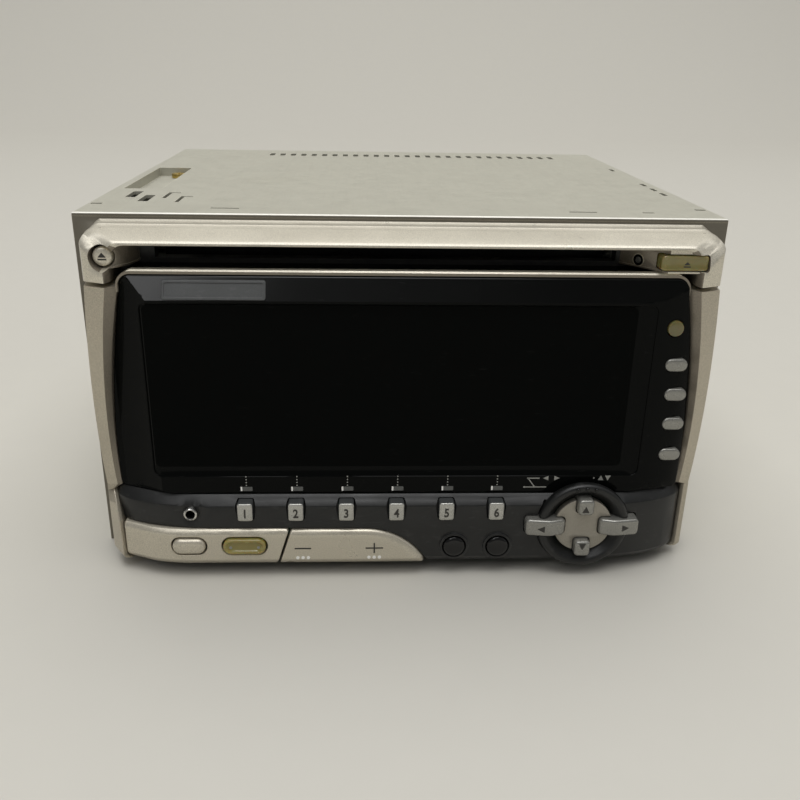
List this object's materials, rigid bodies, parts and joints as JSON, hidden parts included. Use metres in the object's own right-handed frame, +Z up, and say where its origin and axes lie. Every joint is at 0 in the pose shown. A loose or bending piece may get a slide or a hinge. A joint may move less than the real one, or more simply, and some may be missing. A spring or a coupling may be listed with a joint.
{
  "type": "car minidisc player",
  "caption": "Double-height car stereo: steel case, disc slot over a motor-driven door with display and keys that tilts down to a cartridge slot.",
  "frame": {"origin": "middle of the case's flat underside", "axes": "+X to the right seen from the front, +Y to the back, +Z up"},
  "size_m": [0.178, 0.2004, 0.1],
  "materials": {
    "case_steel": "galvanised sheet",
    "heat_sink_alloy": "black anodised",
    "silver_paint": "champagne metallic paint",
    "lens_black": "gloss",
    "dark_plastic": "satin",
    "amber_plastic": "translucent, yellowed",
    "black_key": "gloss",
    "board": "lacquered",
    "bright_steel": "ground",
    "brass": "yellow passivated",
    "rubber": "matt",
    "white_plastic": "plain"
  },
  "bodies": {
    "chassis": {"chassis_pan": "case_steel", "top_cover": "case_steel", "rear_panel": "case_steel", "heat_sink": "heat_sink_alloy", "rear_sockets": "dark_plastic", "case_screws": "brass", "front_frame": "dark_plastic", "top_bezel": "silver_paint", "hinge_pins": "bright_steel", "main_board": "board", "drive_motors": "bright_steel", "deck_dampers": "rubber", "cd_deck": "case_steel", "guide_rods": "bright_steel", "md_deck": "case_steel"},
    "door": {"door_shell": "silver_paint", "door_back": "dark_plastic", "display_lens": "lens_black", "display_module": "dark_plastic", "key_board": "board", "button_strip": "dark_plastic", "lower_panel": "silver_paint", "dpad_ring": "dark_plastic", "mic_jack": "bright_steel"},
    "roller": {"feed_roller": "rubber", "roller_shaft": "bright_steel"},
    "open_button": {"open_button": "silver_paint"},
    "cd_eject_button": {"cd_eject_button": "amber_plastic"},
    "drive_gear": {"drive_gear": "white_plastic"},
    "loading_gear": {"loading_gear": "white_plastic"},
    "cd_turntable": {"cd_turntable": "dark_plastic"},
    "clamp_arm": {"clamp_arm": "case_steel"},
    "clamp_puck": {"clamp_puck": "rubber"},
    "cd_pickup": {"cd_pickup": "dark_plastic"},
    "cd_lead_screw": {"cd_lead_screw": "bright_steel"},
    "md_holder": {"md_holder": "case_steel"},
    "md_turntable": {"md_turntable": "dark_plastic"},
    "md_pickup": {"md_pickup": "dark_plastic"},
    "md_lead_screw": {"md_lead_screw": "bright_steel"},
    "volume_rocker": {"volume_rocker": "silver_paint"},
    "program_button": {"program_button": "amber_plastic"},
    "display_button": {"display_button": "silver_paint"},
    "clock_button": {"clock_button": "silver_paint"},
    "info_button": {"info_button": "silver_paint"},
    "escape_button": {"escape_button": "silver_paint"},
    "preset_button_1": {"preset_button_1": "silver_paint"},
    "preset_button_2": {"preset_button_2": "silver_paint"},
    "preset_button_3": {"preset_button_3": "silver_paint"},
    "preset_button_4": {"preset_button_4": "silver_paint"},
    "preset_button_5": {"preset_button_5": "silver_paint"},
    "preset_button_6": {"preset_button_6": "silver_paint"},
    "function_button": {"function_button": "black_key"},
    "audio_button": {"audio_button": "black_key"},
    "sound_button": {"sound_button": "silver_paint"},
    "source_button": {"source_button": "amber_plastic"},
    "up_button": {"up_button": "silver_paint"},
    "down_button": {"down_button": "silver_paint"},
    "left_button": {"left_button": "silver_paint"},
    "right_button": {"right_button": "silver_paint"},
    "select_disc": {"select_disc": "silver_paint"}
  },
  "joints": [
    {"name": "door_tilt", "type": "hinge", "parent": "chassis", "child": "door", "pos_m": [0, -0.091, 0.015], "axis": [1, 0, 0], "range_deg": [0, 80]},
    {"name": "drive_gear_turn", "type": "hinge", "parent": "chassis", "child": "drive_gear", "pos_m": [-0.067, -0.07399, 0.02119], "axis": [1, 0, 0], "range_deg": [-127, 1]},
    {"name": "open_press", "type": "slide", "parent": "chassis", "child": "open_button", "axis": [0, 1, 0], "range_m": [0, 0.001], "stiffness_N_per_m": 400},
    {"name": "cd_eject_press", "type": "slide", "parent": "chassis", "child": "cd_eject_button", "axis": [0, 1, 0], "range_m": [0, 0.001], "stiffness_N_per_m": 400},
    {"name": "roller_turn", "type": "hinge", "parent": "chassis", "child": "roller", "pos_m": [-0.00475, -0.068, 0.0875], "axis": [1, 0, 0], "continuous": true},
    {"name": "loading_gear_turn", "type": "hinge", "parent": "chassis", "child": "loading_gear", "pos_m": [0.066, -0.0583, 0.0875], "axis": [1, 0, 0], "continuous": true},
    {"name": "cd_spin", "type": "hinge", "parent": "chassis", "child": "cd_turntable", "pos_m": [-0.00475, -0.005, 0.0812], "axis": [0, 0, 1], "continuous": true},
    {"name": "clamp_lift", "type": "hinge", "parent": "chassis", "child": "clamp_arm", "pos_m": [-0.00475, 0.048, 0.0953], "axis": [-1, 0, 0], "range_deg": [0, 1.5], "stiffness_Nm_per_rad": 0.05, "springref_deg": -17.19},
    {"name": "puck_spin", "type": "hinge", "parent": "clamp_arm", "child": "clamp_puck", "pos_m": [-0.00475, -0.005, 0.0915], "axis": [0, 0, 1], "continuous": true},
    {"name": "cd_sled", "type": "slide", "parent": "chassis", "child": "cd_pickup", "axis": [0, 1, 0], "range_m": [0, 0.034]},
    {"name": "cd_screw_turn", "type": "hinge", "parent": "chassis", "child": "cd_lead_screw", "pos_m": [0.00825, 0.038, 0.0845], "axis": [0, 1, 0], "range_deg": [-5, 2045]},
    {"name": "md_lower", "type": "slide", "parent": "chassis", "child": "md_holder", "axis": [0, 0, -1], "range_m": [0, 0.003]},
    {"name": "md_spin", "type": "hinge", "parent": "chassis", "child": "md_turntable", "pos_m": [0, -0.04, 0.0452], "axis": [0, 0, 1], "continuous": true},
    {"name": "md_sled", "type": "slide", "parent": "chassis", "child": "md_pickup", "axis": [0, 1, 0], "range_m": [0, 0.018]},
    {"name": "md_screw_turn", "type": "hinge", "parent": "chassis", "child": "md_lead_screw", "pos_m": [0.011, 0.002, 0.0481], "axis": [0, 1, 0], "range_deg": [-5, 1085]},
    {"name": "volume_rock", "type": "hinge", "parent": "door", "child": "volume_rocker", "pos_m": [-0.014, -0.093, 0.0108], "axis": [0, 0, 1], "range_deg": [-1.2, 1.2], "stiffness_Nm_per_rad": 0.25},
    {"name": "program_press", "type": "slide", "parent": "door", "child": "program_button", "axis": [0, 1, 0], "range_m": [0, 0.0006], "stiffness_N_per_m": 400},
    {"name": "display_press", "type": "slide", "parent": "door", "child": "display_button", "axis": [0, 1, 0], "range_m": [0, 0.0006], "stiffness_N_per_m": 400},
    {"name": "clock_press", "type": "slide", "parent": "door", "child": "clock_button", "axis": [0, 1, 0], "range_m": [0, 0.0006], "stiffness_N_per_m": 400},
    {"name": "info_press", "type": "slide", "parent": "door", "child": "info_button", "axis": [0, 1, 0], "range_m": [0, 0.0006], "stiffness_N_per_m": 400},
    {"name": "escape_press", "type": "slide", "parent": "door", "child": "escape_button", "axis": [0, 1, 0], "range_m": [0, 0.0006], "stiffness_N_per_m": 400},
    {"name": "preset_1_press", "type": "slide", "parent": "door", "child": "preset_button_1", "axis": [0, 1, 0], "range_m": [0, 0.0006], "stiffness_N_per_m": 400},
    {"name": "preset_2_press", "type": "slide", "parent": "door", "child": "preset_button_2", "axis": [0, 1, 0], "range_m": [0, 0.0006], "stiffness_N_per_m": 400},
    {"name": "preset_3_press", "type": "slide", "parent": "door", "child": "preset_button_3", "axis": [0, 1, 0], "range_m": [0, 0.0006], "stiffness_N_per_m": 400},
    {"name": "preset_4_press", "type": "slide", "parent": "door", "child": "preset_button_4", "axis": [0, 1, 0], "range_m": [0, 0.0006], "stiffness_N_per_m": 400},
    {"name": "preset_5_press", "type": "slide", "parent": "door", "child": "preset_button_5", "axis": [0, 1, 0], "range_m": [0, 0.0006], "stiffness_N_per_m": 400},
    {"name": "preset_6_press", "type": "slide", "parent": "door", "child": "preset_button_6", "axis": [0, 1, 0], "range_m": [0, 0.0006], "stiffness_N_per_m": 400},
    {"name": "function_press", "type": "slide", "parent": "door", "child": "function_button", "axis": [0, 1, 0], "range_m": [0, 0.0006], "stiffness_N_per_m": 400},
    {"name": "audio_press", "type": "slide", "parent": "door", "child": "audio_button", "axis": [0, 1, 0], "range_m": [0, 0.0006], "stiffness_N_per_m": 400},
    {"name": "sound_press", "type": "slide", "parent": "door", "child": "sound_button", "axis": [0, 1, 0], "range_m": [0, 0.0006], "stiffness_N_per_m": 400},
    {"name": "source_press", "type": "slide", "parent": "door", "child": "source_button", "axis": [0, 1, 0], "range_m": [0, 0.0006], "stiffness_N_per_m": 400},
    {"name": "up_press", "type": "slide", "parent": "door", "child": "up_button", "axis": [0, 1, 0], "range_m": [0, 0.0006], "stiffness_N_per_m": 400},
    {"name": "down_press", "type": "slide", "parent": "door", "child": "down_button", "axis": [0, 1, 0], "range_m": [0, 0.0006], "stiffness_N_per_m": 400},
    {"name": "left_press", "type": "slide", "parent": "door", "child": "left_button", "axis": [0, 1, 0], "range_m": [0, 0.0006], "stiffness_N_per_m": 400},
    {"name": "right_press", "type": "slide", "parent": "door", "child": "right_button", "axis": [0, 1, 0], "range_m": [0, 0.0006], "stiffness_N_per_m": 400},
    {"name": "select_disc_press", "type": "slide", "parent": "door", "child": "select_disc", "axis": [0, 1, 0], "range_m": [0, 0.0006], "stiffness_N_per_m": 400}
  ],
  "couplings": [
    {"joint": "drive_gear_turn", "follows": "door_tilt", "ratio": -1.5714},
    {"joint": "loading_gear_turn", "follows": "roller_turn", "ratio": -0.77778},
    {"joint": "cd_screw_turn", "follows": "cd_sled", "rad_per_m": 1047.2},
    {"joint": "md_screw_turn", "follows": "md_sled", "rad_per_m": 1047.2}
  ]
}
